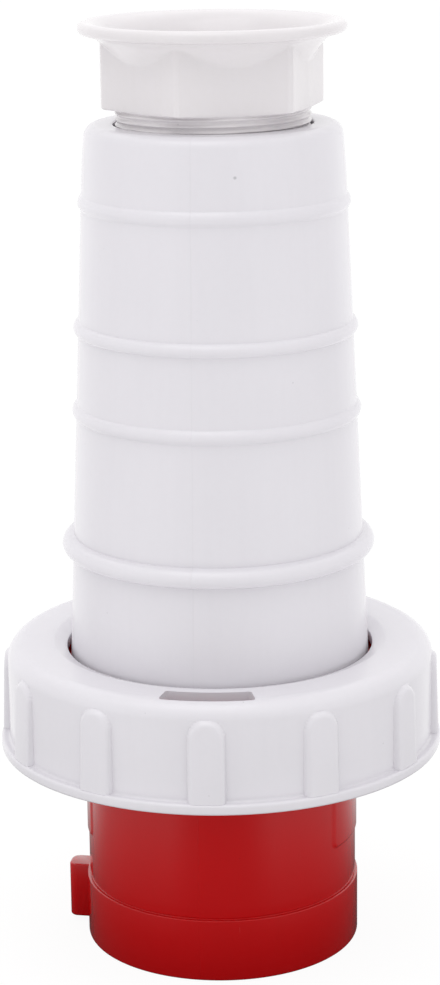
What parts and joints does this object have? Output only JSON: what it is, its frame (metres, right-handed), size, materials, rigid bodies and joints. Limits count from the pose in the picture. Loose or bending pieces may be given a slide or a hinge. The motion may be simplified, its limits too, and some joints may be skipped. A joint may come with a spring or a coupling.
{
  "type": "industrial power plug",
  "caption": "Industrial pin-and-sleeve power plug with keyed red shroud, turning bayonet locking ring, tapered beaded handle and screwed cable gland with hexagon and flared mouth.",
  "frame": {"origin": "on the plug's axis in the plane of the shroud's rim, on which the plug stands", "axes": "+Z along the plug's axis from the shroud's rim to the cable gland; the key of the shroud points along -X"},
  "size_m": [0.1128, 0.1128, 0.2357],
  "materials": {
    "shell_plastic": "smooth light grey moulded polyamide with a faint satin sheen",
    "gland_plastic": "slightly warmer light grey moulded polyamide",
    "red_shroud": "signal red moulded polyamide with a soft gloss",
    "carrier_plastic": "dark grey heat-resistant moulding",
    "black_rubber": "matt black sealing rubber",
    "pin_metal": "turned brass with nickel plating",
    "screw_steel": "zinc-plated steel screws"
  },
  "bodies": {
    "plug": {"plug_shroud": "red_shroud", "handle_shell": "shell_plastic", "front_plate": "carrier_plastic", "contact_carrier": "carrier_plastic", "pin_earth": "pin_metal", "pin_neutral": "pin_metal", "pin_phase_1": "pin_metal", "pin_phase_2": "pin_metal", "pin_phase_3": "pin_metal", "pin_pilot": "pin_metal", "terminal_screw_earth_lower": "screw_steel", "terminal_screw_earth_upper": "screw_steel", "terminal_screw_neutral_lower": "screw_steel", "terminal_screw_neutral_upper": "screw_steel", "terminal_screw_phase_1_lower": "screw_steel", "terminal_screw_phase_1_upper": "screw_steel", "terminal_screw_phase_2_lower": "screw_steel", "terminal_screw_phase_2_upper": "screw_steel", "terminal_screw_phase_3_lower": "screw_steel", "terminal_screw_phase_3_upper": "screw_steel", "terminal_screw_pilot_lower": "screw_steel", "handle_screw_1": "screw_steel", "handle_screw_2": "screw_steel", "handle_screw_3": "screw_steel", "handle_screw_4": "screw_steel", "flange_gasket": "black_rubber", "handle_seal": "black_rubber", "cable_seal": "black_rubber"},
    "locking_ring": {"locking_ring": "shell_plastic"},
    "thrust_washer": {"gland_thrust_washer": "gland_plastic"},
    "gland_nut": {"gland_nut": "gland_plastic"}
  },
  "joints": [
    {"name": "locking_ring_turn", "type": "hinge", "parent": "plug", "child": "locking_ring", "pos_m": [0, 0, 0.066], "axis": [0, 0, 1], "continuous": true},
    {"name": "gland_advance", "type": "slide", "parent": "plug", "child": "thrust_washer", "axis": [0, 0, 1], "range_m": [-0.00365, 0.00305], "deforming": ["cable_seal"]},
    {"name": "gland_turn", "type": "hinge", "parent": "thrust_washer", "child": "gland_nut", "pos_m": [0, 0, 0.21], "axis": [0, 0, 1], "range_deg": [-864, 720]}
  ],
  "couplings": [
    {"joint": "gland_advance", "follows": "gland_turn", "m_per_rad": 0.00023873}
  ]
}
